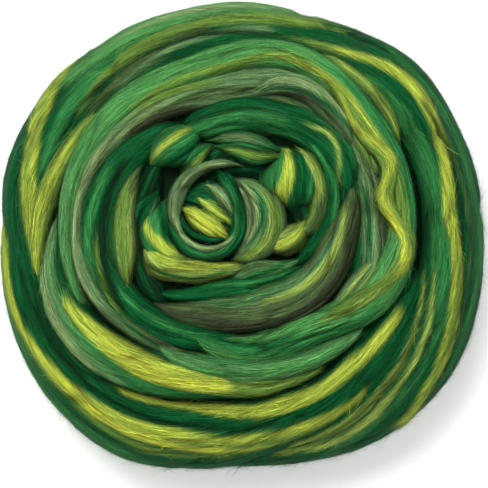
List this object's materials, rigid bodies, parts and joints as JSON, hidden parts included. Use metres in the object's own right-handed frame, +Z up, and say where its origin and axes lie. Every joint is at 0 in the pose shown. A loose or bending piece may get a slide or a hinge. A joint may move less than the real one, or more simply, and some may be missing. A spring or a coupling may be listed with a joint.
{
  "type": "nest of combed wool roving",
  "caption": "Flat round nest of combed wool roving, wound on itself, with streaks of lime, sage and dark green and a tucked curl at its centre.",
  "frame": {"origin": "centre of the nest's box in plan, at the surface that it rests on", "axes": "+Z up out of the open face of the nest, +X to the right and +Y to the top of the nest as the picture shows it from straight above"},
  "size_m": [0.1992, 0.1926, 0.0719],
  "materials": {
    "wool": "soft combed wool fibre in blended streaks of emerald, kelly green, lime, sage and olive, with a silky sheen along the fibre"
  },
  "bodies": {
    "root": {"roving_nest": "wool"}
  },
  "joints": []
}
